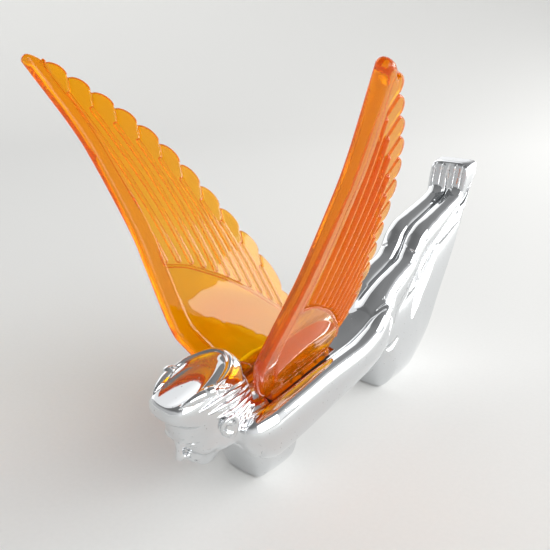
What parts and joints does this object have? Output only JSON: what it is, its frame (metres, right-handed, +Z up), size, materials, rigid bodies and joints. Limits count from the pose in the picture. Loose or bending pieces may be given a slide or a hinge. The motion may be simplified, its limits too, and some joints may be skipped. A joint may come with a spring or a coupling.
{
  "type": "hood ornament",
  "caption": "Chrome figure of a woman in flight with a pair of raised, ribbed amber wings, for the front of a car bonnet.",
  "frame": {"origin": "on the surface that the ornament stands on, under the middle of its whole width and length", "axes": "+X to the figure's left, -Y the way she flies and looks, +Y towards her feet, +Z up"},
  "size_m": [0.172, 0.2436, 0.18],
  "materials": {
    "chrome_plate": "bright chrome plating on polished zinc die casting",
    "amber_acrylic": "clear amber moulded acrylic, glossy",
    "gasket_rubber": "matt black rubber",
    "insert_brass": "turned brass",
    "zinc_steel": "zinc-plated steel"
  },
  "bodies": {
    "root": {"figure_casting": "chrome_plate", "wing_left": "amber_acrylic", "wing_right": "amber_acrylic", "wing_gasket_left": "gasket_rubber", "wing_gasket_right": "gasket_rubber", "wing_insert_left_front": "insert_brass", "wing_washer_left_front": "zinc_steel", "wing_screw_left_front": "zinc_steel", "wing_insert_left_rear": "insert_brass", "wing_washer_left_rear": "zinc_steel", "wing_screw_left_rear": "zinc_steel", "wing_insert_right_front": "insert_brass", "wing_washer_right_front": "zinc_steel", "wing_screw_right_front": "zinc_steel", "wing_insert_right_rear": "insert_brass", "wing_washer_right_rear": "zinc_steel", "wing_screw_right_rear": "zinc_steel"}
  },
  "joints": []
}
